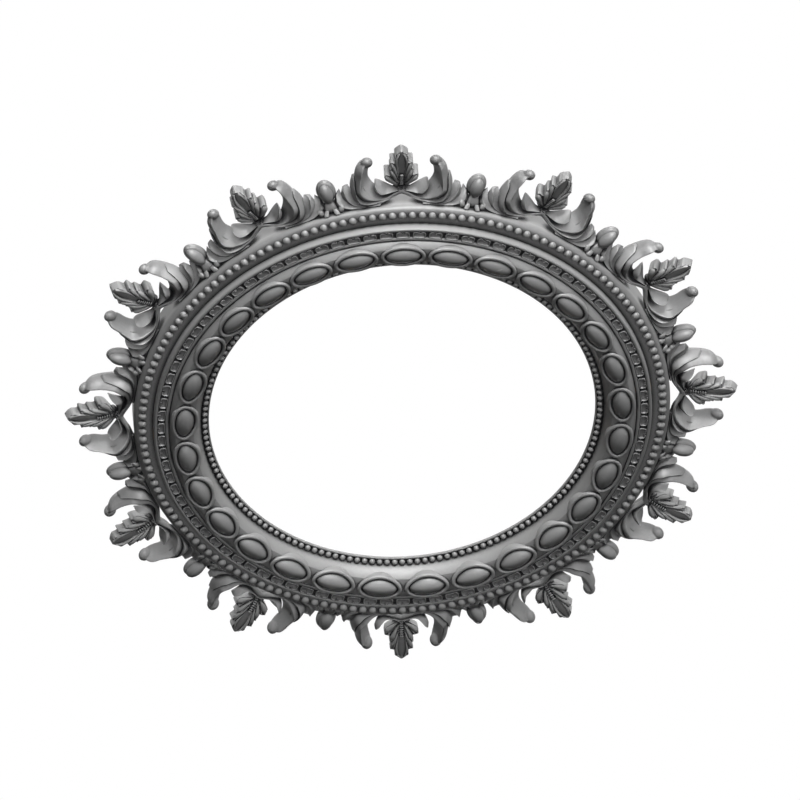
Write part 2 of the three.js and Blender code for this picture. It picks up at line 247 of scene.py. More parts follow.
def bumped(nodes, links, shader, heights, strength, distance):
    bump = nodes.new("ShaderNodeBump")
    bump.inputs["Strength"].default_value = strength
    bump.inputs["Distance"].default_value = distance
    links.new(heights, bump.inputs["Height"])
    links.new(bump.outputs["Normal"], shader.inputs["Normal"])


thick_grey, thin_grey, grain_grey = (0.285, 0.285, 0.285), (0.34, 0.34, 0.34), (0.25, 0.25, 0.252)
# The pale grey below is for worn edges and a painted edge highlight; the near-black is painted shade for the
# hollows.
worn_and_highlight_grey, painted_shade_grey = (0.52, 0.52, 0.517), (0.012, 0.012, 0.013)
shade_reach = 0.006


def grey_paint():
    finish, nodes, links, shader = new_finish("satin_grey_paint")
    place = nodes.new("ShaderNodeTexCoord").outputs["Object"]
    copy = nodes.new("ShaderNodeObjectInfo").outputs["Random"]
    cloud = noise(nodes, links, place, scale=22, detail=4, offset=copy)
    grain = noise(nodes, links, place, scale=420, detail=3, offset=copy)
    speck = noise(nodes, links, place, scale=1500, detail=2, offset=copy)
    ground = mix_colour(nodes, links, remap(nodes, links, cloud, 0.3, 0.7, 0, 1), thick_grey, thin_grey)
    ground = mix_colour(nodes, links, remap(nodes, links, grain, 0.3, 0.7, 0, 0.3), ground, grain_grey)
    edge = nodes.new("ShaderNodeNewGeometry").outputs["Pointiness"]
    # Lighter on the arrises by pointiness: partly paint rubbed thin, partly a painted highlight along the
    # edges.
    worn_and_highlit = mix_colour(nodes, links, remap(nodes, links, edge, 0.515, 0.60, 0, 0.7), ground, worn_and_highlight_grey)
    # Near-black in the hollows by ambient occlusion: painted shade in the creases and under the beads.
    painted_shade = remap(nodes, links, openness(nodes, shade_reach), 0.5, 0.93, 1, 0)
    links.new(mix_colour(nodes, links, painted_shade, worn_and_highlit, painted_shade_grey), shader.inputs["Base Color"])
    links.new(remap(nodes, links, grain, 0.3, 0.7, 0.5, 0.58), shader.inputs["Roughness"])
    shader.inputs["Specular IOR Level"].default_value = 0.14
    bumped(nodes, links, shader, speck, 0.18, 0.00025)
    return finish


paint = grey_paint()
print("paint nodes:", len(paint.node_tree.nodes))

# %% [markdown]
# Behind the paint the frame is wood. A ring this wide isn't cut from one board: eight short
# pieces are glued end to end, each with its grain along its own length, and the joints show
# behind as fine lines. The material reads a map with the place along the segment and across it,
# so the grain turns at each joint as it does on the real ring. Grey paint from the front has
# run a little way over the outer edge.

# %% Glued wood of the back
pale_wood, brown_wood, fibre_brown = (0.52, 0.38, 0.235), (0.36, 0.24, 0.13), (0.27, 0.17, 0.09)


def glued_wood():
    finish, nodes, links, shader = new_finish("glued_poplar")
    grain_map = nodes.new("ShaderNodeUVMap")
    grain_map.uv_map = "grain"
    grain_place = grain_map.outputs["UV"]
    along = noise(nodes, links, stretched(nodes, links, grain_place, (6, 110, 1)), scale=1.0, detail=5)
    fibre = noise(nodes, links, stretched(nodes, links, grain_place, (60, 1500, 1)), scale=1.0, detail=3)
    wood = mix_colour(nodes, links, remap(nodes, links, along, 0.3, 0.7, 0, 1), brown_wood, pale_wood)
    wood = mix_colour(nodes, links, remap(nodes, links, fibre, 0.45, 0.75, 0, 0.4), wood, fibre_brown)
    links.new(wood, shader.inputs["Base Color"])
    links.new(remap(nodes, links, fibre, 0.3, 0.7, 0.62, 0.8), shader.inputs["Roughness"])
    shader.inputs["Specular IOR Level"].default_value = 0.3
    bumped(nodes, links, shader, fibre, 0.25, 0.0003)
    return finish


wood = glued_wood()
print("wood nodes:", len(wood.node_tree.nodes))

# %% [markdown]
# Hangers, buttons and screws are bought parts of zinc-plated steel. Plating is a thin bright
# metal with a cloudy bloom, a little blue here and yellow there, and fine scratches from the
# box they were shipped in. Two noises at different sizes do that, one for colour and one for
# the roughness.

# %% Zinc-plated steel
blue_zinc, yellow_zinc, crevice_brown = (0.34, 0.355, 0.38), (0.43, 0.415, 0.385), (0.06, 0.055, 0.05)
crevice_reach = 0.003


def zinc_plate():
    finish, nodes, links, shader = new_finish("zinc_plated_steel")
    place = nodes.new("ShaderNodeTexCoord").outputs["Object"]
    bloom = noise(nodes, links, place, scale=160, detail=3)
    scratch = noise(nodes, links, stretched(nodes, links, place, (1400, 1400, 120)), scale=1.0, detail=2)
    metal = mix_colour(nodes, links, remap(nodes, links, bloom, 0.35, 0.65, 0, 1), blue_zinc, yellow_zinc)
    # The colour turns dark brown in the crevices, by ambient occlusion.
    crevice = remap(nodes, links, openness(nodes, crevice_reach), 0.3, 0.9, 0.7, 0)
    links.new(mix_colour(nodes, links, crevice, metal, crevice_brown), shader.inputs["Base Color"])
    links.new(remap(nodes, links, scratch, 0.3, 0.7, 0.3, 0.46), shader.inputs["Roughness"])
    shader.inputs["Metallic"].default_value = 1.0
    bumped(nodes, links, shader, scratch, 0.15, 0.0001)
    return finish


plate = zinc_plate()
print("plate nodes:", len(plate.node_tree.nodes))

# %% [markdown]
# The back ring is the frame's own board: it lies against the wall, and its upstand in the
# middle carries the egg moulding and rims the rebate that a picture drops into. It is turned
# with small broken edges. Its mesh also gets the map that the wood's grain reads: eight
# segments, each with its length along its own chord.

# %% Back ring
segments = 8
segment_pitch = 360 / segments
segment_step = 1.7
rebate_radius = slip_outer + gap
rebate_step = 12
back_profile = [
    (rebate_radius, 0.4), (rebate_radius + 0.4, 0), (outer_radius - 2, 0), (outer_radius - 1.3, 0.3),
    (outer_radius - 0.3, 1.3), (outer_radius, 2), (outer_radius, board_front), (egg_outer + 0.3, board_front),
    (egg_outer, board_front + 0.2), (egg_outer, upstand_height - 0.2), (egg_outer - 0.2, upstand_height),
    (rebate_radius + 0.3, upstand_height), (rebate_radius, upstand_height - 0.3),
    (rebate_radius, rebate_step),
]


def map_grain(mesh):
    layer = mesh.uv_layers.new(name="grain")
    for face in mesh.polygons:
        middle = face.center
        turn = math.degrees(math.atan2(middle.x, middle.z)) % 360
        number = int((turn + segment_pitch / 2) // segment_pitch) % segments
        chord = math.radians(number * segment_pitch)
        for loop in face.loop_indices:
            spot = mesh.vertices[mesh.loops[loop].vertex_index].co
            along = spot.x * math.cos(chord) - spot.z * math.sin(chord)
            across = spot.x * math.sin(chord) + spot.z * math.cos(chord)
            layer.data[loop].uv = (along + segment_step * number, across + spot.y)


back_mesh = make_mesh("back_ring_board", *turned(back_profile))
map_grain(back_mesh)
back_mesh.materials.append(wood)
back_mesh.materials.append(paint)
painted_edge = (outer_radius - 2.4) * MM
for face in back_mesh.polygons:
    if math.hypot(face.center.x, face.center.z) > painted_edge:
        face.material_index = 1
place_piece("back_ring_board", back_mesh, wood, "frame", ["back_ring"])
print("back ring faces:", len(back_mesh.polygons))

# %% [markdown]
# The outer moulding is a flat shelf with a rounded shoulder, and on the shelf lies a string of
# 164 beads. A real one is turned first, and the beads are then shaped with a hollow punch, so
# each stands a little more than half out of the wood. The code makes one bead as a ball whose
# middle is level with the shelf, and repeats it round the ring.

# %% Outer moulding and its beads
shelf_inner, shelf_height = chain_outer + gap, 28.5
shoulder = [(0, 24.3), (0.2, 25.2), (0.8, 26.3), (1.7, 27.3), (2.9, 28), (4.3, 28.4), (5.9, shelf_height)]
shelf_profile = [(shelf_inner, board_front), (outer_radius, board_front),
                 *[(outer_radius - inset, height) for inset, height in shoulder],
                 (shelf_inner + 0.9, shelf_height), (shelf_inner, shelf_height - 0.1)]
bead_count, bead_radius, bead_inset, bead_sink = 164, 3.9, 7.3, 0.1


def ball(radius, place, height, around, rows):
    """A ball at the top of the ring, with its poles to the front and the back."""
    points = [(0, -(height + radius) * MM, place * MM)]
    for row in range(1, rows):
        tilt = math.pi * row / rows
        for i in range(around):
            angle = 2 * math.pi * i / around
            ring = radius * math.sin(tilt)
            points.append((ring * math.sin(angle) * MM, -(height + radius * math.cos(tilt)) * MM,
                           (place + ring * math.cos(angle)) * MM))
    points.append((0, -(height - radius) * MM, place * MM))
    last = len(points) - 1
    faces = []
    for i in range(around):
        j = (i + 1) % around
        faces.append((0, 1 + i, 1 + j))
        for row in range(rows - 2):
            start = 1 + row * around
            faces.append((start + i, start + around + i, start + around + j, start + j))
        start = 1 + (rows - 2) * around
        faces.append((start + i, last, start + j))
    return points, faces


shelf_mesh = make_mesh("outer_moulding", *turned(shelf_profile))
place_piece("outer_moulding", shelf_mesh, paint, "frame", ["bead_moulding"])
bead = ball(bead_radius, outer_radius - bead_inset, shelf_height - bead_sink, around=18, rows=12)
bead_mesh = make_mesh("outer_beads", *course(*bead, bead_count))
place_piece("outer_beads", bead_mesh, paint, "frame", ["bead_moulding"])
print("beads:", bead_count, "faces:", len(bead_mesh.polygons))

# %% [markdown]
# The middle moulding is a channel between two round-topped ribs, and in the channel runs a
# chain of small links. The ribs and the channel are turned in one profile. Each rib is a list of
# how far in from its own edge and how high, so that it stays at its edge if the ring changes.

# %% Middle moulding
channel_inner = egg_outer + gap
channel_floor, rib_top = 34.3, 36.95
outer_rib = [(0, 35.6), (0.3, 36.3), (0.9, 36.8), (1.8, rib_top), (2.6, 36.8), (3.2, 36.2), (3.5, 35.4),
             (3.7, channel_floor)]
inner_rib = [(4, channel_floor), (3.8, 35.6), (3.5, 36.4), (2.9, 36.8), (1.9, rib_top), (0.8, 36.8),
             (0.2, 36.4), (0, 35.8)]
channel_profile = [(channel_inner, board_front), (chain_outer, board_front),
                   *[(chain_outer - inset, height) for inset, height in outer_rib],
                   *[(channel_inner + inset, height) for inset, height in inner_rib]]
channel_mesh = make_mesh("middle_moulding", *turned(channel_profile))
place_piece("middle_moulding", channel_mesh, paint, "frame", ["chain_moulding"])
print("middle moulding faces:", len(channel_mesh.polygons))

# %% [markdown]
# Each link of the chain is a shallow cup with rounded ends, straight along its inner side, and
# with a notch in the middle of its outer side where a tiny bead sits. The carver sinks the
# middle with a small gouge and leaves a raised rim. The link is built from rows that follow its
# outline: foot, outside, the top of the rim, inside and floor, each a little further in.

# %% Chain of links
link_count = 92
link_middle = (chain_outer - outer_rib[-1][0] + channel_inner + inner_rib[0][0]) / 2
link_half_length, link_half_width = 6.3, 3.7
right_half = [
    (0, -link_half_width), (2.3, -link_half_width), (4.6, -link_half_width), (5.7, -3.3), (6.2, -2.2),
    (link_half_length, 0), (6.1, 1.8), (5.4, 3.0), (4.2, 3.6), (2.6, link_half_width), (1.5, 3.3), (0.8, 2.2),
    (0, 1.6),
]
link_outline = right_half + [(-x, z) for x, z in reversed(right_half[1:-1])]
link_rows = [(0, 33.9), (0.05, 36.2), (0.35, 36.85), (0.7, 37.0), (1.05, 36.7), (1.4, 35.8), (2.3, 35.4)]
notch_bead_radius, notch_bead_out, notch_bead_height = 1.0, 2.9, 35.7


def link():
    rows = []
    for inset, height in link_rows:
        long_share = 1 - inset / link_half_length
        wide_share = 1 - inset / link_half_width
        rows.append([(x * long_share * MM, -height * MM, (link_middle + z * wide_share) * MM)
                     for x, z in link_outline])
    return lofted(rows)


notch_bead = ball(notch_bead_radius, link_middle + notch_bead_out, notch_bead_height, around=8, rows=6)
chain_mesh = make_mesh("link_chain", *course(*joined(link(), notch_bead), link_count))
place_piece("link_chain", chain_mesh, paint, "frame", ["chain_moulding"])
print("links:", link_count, "faces:", len(chain_mesh.polygons))

# %% [markdown]
# The raised inner moulding has a flat top between two slopes, and 29 long eggs stand on it.
# Each egg sits in a collar, a rounded rim with a dark groove between it and the egg. The
# collar is wider than the flat, so its outer side runs down onto the slopes: the code asks the
# profile how high the wood is under each point of the collar's foot, and ends just inside it.
# Towards the sight the collar leans down with the wood and reaches a little further.

# %% Egg moulding
egg_count, egg_middle, egg_inner = 29, 197.6, 181.4
egg_front = [(egg_inner, 27.6), (188.3, 39.5), (188.9, 39.85), (205.4, 42), (206.1, 41.7), (210.3, 36.9),
             (egg_outer, 36.3)]
egg_profile = [(egg_inner, egg_back), (egg_outer, egg_back), *reversed(egg_front)]


def egg_wood(radius):
    """Height of the moulding's front at a radius."""
    return float(np.interp(radius, *zip(*egg_front)))


dome_length, dome_width, dome_foot = 16.6, 8.6, 40.1
groove = (16.7, 8.7, 39.7)
collar_length, collar_width, collar_height, collar_tube = 18.6, 10.4, 42.2, 1.95
foot_length, foot_width, foot_reach, foot_root = 20.4, 12.1, 0.7, 0.5
lean_drop, lean_reach = 2.8, 0.9
egg_around = 56


def dome_row(degrees):
    """A row of the dome, which is at its crown at 0 degrees and upright at 90."""
    wide, high = math.sin(math.radians(degrees)), math.cos(math.radians(degrees))
    return dome_length * wide, dome_width * wide, dome_foot + (egg_crown - dome_foot) * high


def collar_row(degrees):
    """A row of the collar: 0 degrees is its outer side, 90 its top and 180 its inner side."""
    reach = collar_tube * math.cos(math.radians(degrees))
    height = collar_height + collar_tube * math.sin(math.radians(degrees))
    return collar_length + reach, collar_width + reach, height


egg_rows = [dome_row(a) for a in (12, 24, 36, 48, 60, 71, 80, 87)] + [groove]
egg_rows += [collar_row(a) for a in (185, 155, 130, 108, 88, 68, 46, 22, 0)]


def egg():
    points = [(0, -egg_crown * MM, egg_middle * MM)]
    angles = [2 * math.pi * i / egg_around for i in range(egg_around)]
    for length, width, height in egg_rows:
        for angle in angles:
            lean = (max(0, -math.cos(angle)) * min(1, width / groove[1])) ** 2
            points.append((length * math.sin(angle) * MM, -(height - lean_drop * lean) * MM,
                           (egg_middle + (width + lean_reach * lean) * math.cos(angle)) * MM))
    for angle in angles:
        width = foot_width + (foot_reach if math.cos(angle) < 0 else 0)
        x, z = foot_length * math.sin(angle), egg_middle + width * math.cos(angle)
        points.append((x * MM, -(egg_wood(math.hypot(x, z)) - foot_root) * MM, z * MM))
    faces = []
    for i in range(egg_around):
        j = (i + 1) % egg_around
        faces.append((0, 1 + i, 1 + j))
        for row in range(len(egg_rows)):
            start = 1 + row * egg_around
            faces.append((start + i, start + egg_around + i, start + egg_around + j, start + j))
    foot = 1 + len(egg_rows) * egg_around
    faces.append(tuple(foot + i for i in range(egg_around)))
    return points, faces


band_mesh = make_mesh("egg_band", *turned(egg_profile))
place_piece("egg_band", band_mesh, paint, "frame", ["egg_moulding"])
egg_mesh = make_mesh("eggs", *course(*egg(), egg_count), crisp_angle=60)
place_piece("eggs", egg_mesh, paint, "frame", ["egg_moulding"])
print("eggs:", egg_count, "faces:", len(egg_mesh.polygons))

# %% [markdown]
# The innermost lip is a thin flat slip with a fine string of 164 beads. Its back is the seat
# that the picture's glass rests on.

# %% Sight slip and its fine beads
sight_radius, slip_top, slip_face = 174.2, 26.5, 25.6
sight_roll = [(2, slip_face), (1.7, 26.5), (1.4, 26.9), (0.7, 27.0), (0.2, 26.8), (0, 26.3)]
slip_profile = [(sight_radius, slip_back + 0.2), (sight_radius + 0.2, slip_back), (slip_outer, slip_back),
                (slip_outer, slip_top), (egg_inner + 0.2, slip_top), (egg_inner, slip_face),
                *[(sight_radius + inset, height) for inset, height in sight_roll]]
slip_mesh = make_mesh("sight_lip", *turned(slip_profile))
place_piece("sight_lip", slip_mesh, paint, "frame", ["sight_slip"])
fine_radius, fine_inset, fine_height = 2.92, 4.4, 26.9
fine_bead = ball(fine_radius, sight_radius + fine_inset, fine_height, around=16, rows=10)
fine_mesh = make_mesh("fine_beads", *course(*fine_bead, bead_count))
place_piece("fine_beads", fine_mesh, paint, "frame", ["sight_slip"])
print("fine beads:", bead_count, "faces:", len(fine_mesh.polygons))

# %% [markdown]
# A crest is two sprays of acanthus that cross in a knot. Each half has five petals that lie one
# behind the other and fan away from the middle, like a hand of cards: a short paddle with a
# cupped end, a tall horn whose tip curls over, and three lower petals that turn down to the
# ring. A carver draws three lines for a petal, its front rim, its back rim and its outer edge,
# and then hollows the face between the rims with a gouge. The code does the same: a smooth curve
# goes through each list of places, given as degrees from the crest's middle, millimetres out
# from the ring and millimetres in front of the knot, and a skin is stretched over them.

# %% Petal skins
petal_steps = 36


def smooth_path(places):
    known = np.array(places, float)
    known = np.vstack((2 * known[0] - known[1], known, 2 * known[-1] - known[-2]))
    path = []
    for along in np.linspace(0, len(places) - 1, petal_steps + 1):
        i = min(int(along), len(places) - 2)
        t = along - i
        a, b, c, d = known[i:i + 4]
        path.append(0.5 * (2 * b + (c - a) * t + (2 * a - 5 * b + 4 * c - d) * t ** 2
                           + (3 * b - a - 3 * c + d) * t ** 3))
    return [Vector(ring_point(deg, outer_radius + out, knot_height + ahead)) for deg, out, ahead in path]


def side_points(start, end, inside, bulge, shares):
    """Places from one edge to the next, on a curve that bulges away from the petal's inside."""
    middle = (start + end) / 2
    line = end - start
    away = middle - inside
    away -= line * (away.dot(line) / max(line.length_squared, 1e-12))
    away = away.normalized() * line.length * bulge
    return [start + line * s + away * 4 * s * (1 - s) for s in shares]


side_shares = (0.05, 0.17, 0.33, 0.5, 0.67, 0.83, 0.95)
spine_shares, spine_bulge = (0.08, 0.36, 0.64, 0.92), 0.06
tip_rounding = ((0.95, 0.3), (0.84, 0.58), (0.66, 0.8), (0.42, 0.94), (0.15, 1.0))


def petal_section(front, back, outer, hollow, belly):
    face = side_points(front, back, outer, -hollow, side_shares)
    spine = side_points(back, outer, front, spine_bulge, spine_shares)
    flank = side_points(outer, front, back, belly, side_shares)
    corner_b = back * 0.5 + (face[-1] + spine[0]) * 0.25
    corner_o = outer * 0.5 + (spine[-1] + flank[0]) * 0.25
    corner_f = front * 0.5 + (flank[-1] + face[0]) * 0.25
    return [*face, corner_b, *spine, corner_o, *flank, corner_f]


def petal(front, back, outer, hollow=0.14, belly=0.12, side=1):
    rims = [smooth_path([(side * deg, out, ahead) for deg, out, ahead in rim])
            for rim in (front, back, outer)]
    sections = [petal_section(*spots, hollow, belly) for spots in zip(*rims)]
    last = sections[-1]
    middle = sum(last, Vector()) / len(last)
    before = sum(sections[-2], Vector()) / len(last)
    ahead = (middle - before).normalized()
    reach = min((spot - middle).length for spot in last)
    for size, step in tip_rounding:
        sections.append([middle + (spot - middle) * size + ahead * reach * step for spot in last])
    return lofted(sections)


print("steps along a petal:", petal_steps)

# %% [markdown]
# Here are the five petals of one half, each with its front rim, its back rim and its outer edge.
# Every list runs from the knot to the tip. A real carver measures such places with a compass on a
# finished crest, and these come from the picture in the same way: a tip that shows both in the
# top crest and, from its other side, in the bottom one gives its height and its depth.

# %% Petals of a spray
paddle = dict(
    front=[(-0.7, 16.2, 1.4), (0.6, 14.3, 2.6), (2.0, 12.5, 2.8), (3.2, 12.0, 4.2), (4.0, 14.2, 7.0),
           (4.5, 17, 8.8), (4.95, 20, 7.8), (5.2, 22, 4.6), (5.2, 23.2, 0.6)],
    back=[(-0.6, 15.8, -1.4), (0.6, 14.2, -3), (1.7, 15.2, -4), (2.7, 17.8, -4.8), (3.6, 20.7, -5.2),
          (4.4, 22.9, -5.8), (4.9, 23.8, -5.8), (5.15, 24.2, -4.8), (5.2, 24.2, -3)],
    outer=[(-0.7, 11, -7), (0.7, 10.4, -8), (2.1, 8.6, -8.5), (3.3, 7.8, -7.8), (4.2, 8.8, -5.6),
           (4.85, 11.8, -2.2), (5.25, 15.6, 0.4), (5.4, 19, 1), (5.3, 22, -0.6)],
    hollow=0.12)
horn = dict(
    front=[(-0.6, 15.4, 1.2), (1.4, 11, 2.6), (3.1, 6.7, 3.6), (4.8, 6.0, 4.8), (6.2, 8.8, 7.2),
           (7.25, 14, 10.6), (8.05, 20, 11), (8.0, 25, 9.5), (7.85, 29, 8.2), (7.55, 34, 6.8),
           (7.35, 38, 6.6), (7.1, 42, 5.6), (6.75, 45, 2.8), (6.45, 46.6, -0.3)],
    back=[(-0.5, 16.6, -5), (1.4, 14.5, -7), (3.0, 12, -8.4), (4.3, 12, -9), (5.0, 14.4, -9), (5.6, 18, -9.4),
          (6.05, 22, -9.6), (6.25, 26, -9.4), (6.2, 30, -9.4), (5.95, 34.4, -9.6), (5.7, 38, -8.8),
          (5.5, 41.6, -7), (5.7, 44.4, -5.4), (6.1, 46, -4)],
    outer=[(-0.6, 9.4, 0.6), (1.4, 6.5, 0), (3.1, 3, -1), (5, 2, -3), (6.8, 3.5, -6.5), (8.2, 8, -10.5),
           (8.85, 14, -13.6), (8.7, 20, -15.6), (8.3, 26, -16.2), (7.95, 32, -16.2), (7.6, 37, -15.4),
           (7.3, 41, -13.4), (6.9, 44, -10), (6.55, 46, -6.4)],
    hollow=0.08, belly=0.25)
second = dict(
    front=[(-0.2, 12.5, 1.6), (2.9, 5.4, 4.2), (4.7, 3.6, 5.2), (6.3, 3.6, 6.8), (7.7, 6, 9),
           (8.6, 10.5, 10.8), (9.1, 16, 9.2), (9.2, 22.4, 6.2), (9.0, 29, 2.2)],
    back=[(0, 14, -0.5), (2.9, 7.4, 2.4), (4.7, 6.4, 3), (6, 8.2, 3), (6.85, 14, 2.6), (7.3, 20.5, 2.4),
          (7.7, 26, 1), (8.2, 30.5, -1.8), (8.65, 32.8, -5)],
    outer=[(-0.2, 9.4, 0.4), (2.9, 3, 1), (4.8, 1, 0), (6.6, 0.5, -1), (8.5, 2.5, -2), (9.8, 7, -3),
           (10.3, 14, -4), (10.1, 23, -5.6), (9.35, 31.5, -7)],
    hollow=0.16)
third = dict(
    front=[(1.5, 7.6, 2.8), (4.5, 2.8, 5.4), (6.5, 2, 6), (8.4, 2.4, 6), (9.9, 4.4, 5.6), (10.8, 8.5, 5),
           (11.3, 14, 4), (11.5, 18.6, 2)],
    back=[(1.5, 9, 1), (4.6, 4.2, 3.6), (6.6, 3.8, 4), (8.1, 5, 4), (9.2, 9, 3.2), (9.8, 14.5, 1.4),
          (10.1, 19.5, -2), (10.5, 22, -5.6)],
    outer=[(1.5, 6, 0), (4.6, 0.8, 1), (6.8, 0.3, 1), (9, 0.3, 0), (11, 2, 0), (12.1, 7, -1),
           (12.3, 13.5, -3), (11.7, 20, -6)],
    hollow=0.16)
fourth = dict(
    front=[(4.5, 1.4, 6.4), (7.5, 0.9, 6.7), (9.5, 1.0, 6.7), (11.2, 2.2, 6.4), (12.4, 5, 6), (13, 8.5, 5.2),
           (13.3, 11.4, 3.8)],
    back=[(4.5, 2.4, 5), (7.5, 2.2, 5.2), (9.4, 2.8, 5), (10.8, 5.2, 4.2), (11.5, 9.4, 2.5), (12, 14, -2),
          (12.4, 17.6, -7)],
    outer=[(4.5, 0.1, 2), (7.6, 0.1, 2), (9.8, 0.1, 2), (12, 0.6, 2), (13.4, 2.8, 1.5), (14, 7, 0.5),
           (13.7, 12, -3)])
print("petals of a crest:", 2 * len((paddle, horn, second, third, fourth)))

# %% [markdown]
# The tip of a horn rolls over into a rounded end. That end is an egg that leans out and forwards,
# and where it meets the petal there must be no seam. The two skins are remeshed together as fine
# cubes of 0.65 mm, which joins them, and the joint is then rubbed smooth as with sandpaper.

# %% Rolled tips and whole sprays
lean_sin, lean_cos = math.sin(math.radians(41)), math.cos(math.radians(41))
curl_aside, curl_out, curl_behind = 31.2, 43.1, 3.9
curl_half_width, curl_half_length, curl_half_depth = 5.5, 6.4, 4.8
blend_cell, blend_rounds, blend_rub = 0.65, 4, 0.5
crest_count = 12
crest_pitch = 360 / crest_count


def curl(side):
    """The rounded end of a horn."""
    points, faces = ball(1.0, 0, 0, around=28, rows=18)
    spots = []
    for x, y, z in points:
        long, short = curl_half_length * z, -curl_half_depth * y
        spots.append((side * (curl_aside * MM + curl_half_width * x),
                      -(knot_height - curl_behind) * MM - long * lean_sin + short * lean_cos,
                      (outer_radius + curl_out) * MM + long * lean_cos + short * lean_sin))
    return spots, faces


def blended(points, faces):
    """One skin over parts that overlap, with the creases between them rubbed smooth."""
    rough = bpy.data.objects.new("rough", make_mesh("rough", points, faces))
    bpy.context.scene.collection.objects.link(rough)
    skin = rough.modifiers.new("skin", "REMESH")
    skin.mode = "VOXEL"
    skin.voxel_size = blend_cell * MM
    rub = rough.modifiers.new("rub", "SMOOTH")
    rub.factor = blend_rub
    rub.iterations = blend_rounds
    made = rough.evaluated_get(bpy.context.evaluated_depsgraph_get()).to_mesh()
    result = [tuple(v.co) for v in made.vertices], [tuple(f.vertices) for f in made.polygons]
    bpy.data.objects.remove(rough)
    return result


spray_parts = [petal(**shape, side=side) for side in (-1, 1) for shape in (paddle, second, third, fourth)]
spray_parts += [blended(*joined(petal(**horn, side=side), curl(side))) for side in (-1, 1)]
spray_mesh = make_mesh("acanthus_spray", *joined(*spray_parts), crisp_angle=50)
for i in range(crest_count):
    place_piece(f"acanthus_spray_{i + 1:02d}", spray_mesh, paint, "frame",
                [f"crest_spray_{i + 1:02d}"], turn=crest_pitch * i)
print("faces of one spray:", len(spray_mesh.polygons))

# %% [markdown]
# The leaf that stands in a crest is a thick plate, cut square at the edge, with four lobes on
# each side that step back towards the tip. A smooth channel runs up its middle, and flutes fan
# out from its foot into the lobes, cut with a V tool so that the ridges between them stay round.
# A ladder of flat beads lies at the foot of the channel. The whole leaf leans a little: its back
# reaches further out than its front, so the ends of the lobes catch the light from above.

# %% Standing leaf
leaf_outline = [
    (17.4, 3.4), (19.5, 6), (22, 9.4), (24.5, 12.8), (26.5, 14.6), (29, 15.2), (32, 15.5), (33.2, 15.3),
    (33.8, 14.6), (34.1, 13), (34.2, 10.4), (36, 10.1), (39, 10.5), (41, 10.9), (41.8, 10.7), (42.3, 10.0),
    (42.5, 8.9), (44.5, 8.9), (47.5, 10), (49, 10.5), (49.8, 10.2), (50.2, 9.2), (50.4, 6.3), (52, 6.0),
    (54.5, 6.2), (56, 6.3), (57.2, 5.7), (59, 4.3), (60.8, 2.2), (62, 0.5),
]
leaf_floor = [(17.4, -3.2), (21, -1.6), (34, 1.4), (50, 2.2), (62, 2.4)]
leaf_back = [(17.4, -9.5), (34, -8.8), (62, -6)]
leaf_columns, leaf_row_pitch = 28, 0.7
leaf_lean, leaf_lean_from, leaf_bend = 0.27, -8.0, 0.008
fan_out = 15.0
fan_grooves = (6.5, 10.2, 14, 17.9, 23, 28.6, 36, 45, 58, 80)
groove_depth, ridge_rise, ridge_from, channel_dish = 0.4, 1.9, 4, 0.5


def leaf_front(x, out):
    """Height of the leaf's front, in front of the knot."""
    floor_level = float(np.interp(out, *zip(*leaf_floor)))
    fan = math.degrees(math.atan2(abs(x), out - fan_out))
    if fan < fan_grooves[0]:
        share = fan / fan_grooves[0]
        return floor_level - channel_dish * share ** 2 * (1 - share) - groove_depth
    for low, high in zip(fan_grooves, fan_grooves[1:]):
        if fan < high:
            ridge = math.sin(math.pi * (fan - low) / (high - low)) ** 0.6
            return floor_level - groove_depth + ridge_rise * ridge * min(1, abs(x) / ridge_from)
    return floor_level


def leaf_point(x, out, ahead):
    """A place on the leaf, which bends back towards its sides and leans out towards its back."""
    ahead = ahead - leaf_bend * x * x
    return (x * MM, -(knot_height + ahead) * MM,
            (outer_radius + out - leaf_lean * (ahead - leaf_lean_from)) * MM)


def leaf():
    outs, halves = zip(*leaf_outline)
    rows = []
    for out in sorted(set(outs) | {round(o, 2) for o in np.arange(18, 61.8, leaf_row_pitch)}):
        half = float(np.interp(out, outs, halves))
        back = float(np.interp(out, *zip(*leaf_back)))
        row = [(x, leaf_front(x, out)) for x in np.linspace(-half, half, 2 * leaf_columns + 1)]
        row += [(half, back + 0.6), (half * 0.97, back), (0, back - 0.3), (-half * 0.97, back),
                (-half, back + 0.6)]
        rows.append([leaf_point(x, out, ahead) for x, ahead in row])
    return lofted(rows)


def oval(half_width, half_depth, half_length, out, ahead, around=32, rows=20):
    points, faces = ball(1.0, 0, 0, around, rows)
    shaped = [(x * half_width, y * half_depth - (knot_height + ahead) * MM,
               z * half_length + (outer_radius + out) * MM) for x, y, z in points]
    return shaped, faces


tongue_sink, tongue_depth = 2.2, 2.6


def tongue(places, side, around=14):
    """A rounded ridge on the leaf's front, through (across, out, half width, how proud)."""
    known = [Vector((side * across, out, 0)) for across, out, half, proud in places]
    sections = []
    for i, (spot, (across, out, half, proud)) in enumerate(zip(known, places)):
        along = (known[min(i + 1, len(known) - 1)] - known[max(i - 1, 0)]).normalized()
        section = []
        for k in range(around):
            angle = 2 * math.pi * k / around
            aside = half * math.cos(angle)
            ahead = leaf_front(0, out) + proud - tongue_sink + tongue_depth * math.sin(angle)
            section.append(leaf_point(spot.x - along.y * aside, spot.y + along.x * aside, ahead))
        sections.append(section)
    return lofted(sections)


